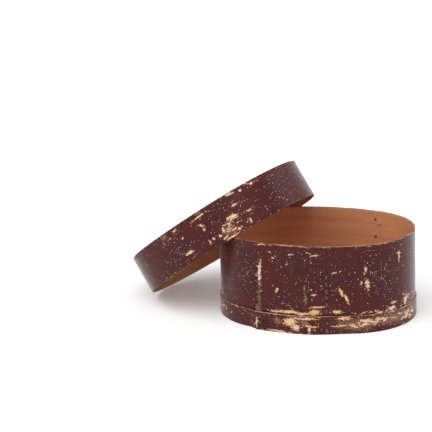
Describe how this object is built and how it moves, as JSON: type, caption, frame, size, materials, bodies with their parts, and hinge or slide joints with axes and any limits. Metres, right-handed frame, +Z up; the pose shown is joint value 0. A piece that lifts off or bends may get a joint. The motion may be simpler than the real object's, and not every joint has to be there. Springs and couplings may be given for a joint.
{
  "type": "oval bentwood box with lid",
  "caption": "Painted oval bentwood box with a laced lap and a hoop round the foot, open, its deep lid leaning on the rim.",
  "frame": {"origin": "middle of the body's foot, on the surface it stands on", "axes": "+Z up, +X along the body to the end away from the lid, -Y out of the wall with the lap"},
  "size_m": [0.454, 0.2676, 0.228],
  "materials": {
    "bare_board": "aged",
    "painted_band": "aged",
    "painted_hoop": "aged",
    "painted_board": "aged",
    "painted_rim": "aged",
    "lacing": "aged",
    "pegs": "aged",
    "tacks": "dull, rusted"
  },
  "bodies": {
    "box": {"base_board": "bare_board", "body_band": "painted_band", "base_hoop": "painted_hoop", "lap_end_lacing": "lacing", "lap_inner_lacing": "lacing", "base_pegs": "pegs", "wall_tacks": "tacks", "hoop_tacks": "tacks"},
    "lid": {"lid_board": "painted_board", "lid_rim": "painted_rim", "lid_lacing": "lacing", "lid_pegs": "pegs"}
  },
  "joints": [
    {"name": "lid_lift", "type": "slide", "parent": "box", "child": "lid", "axis": [0, 0, 1], "range_m": [0, 0.16]}
  ]
}
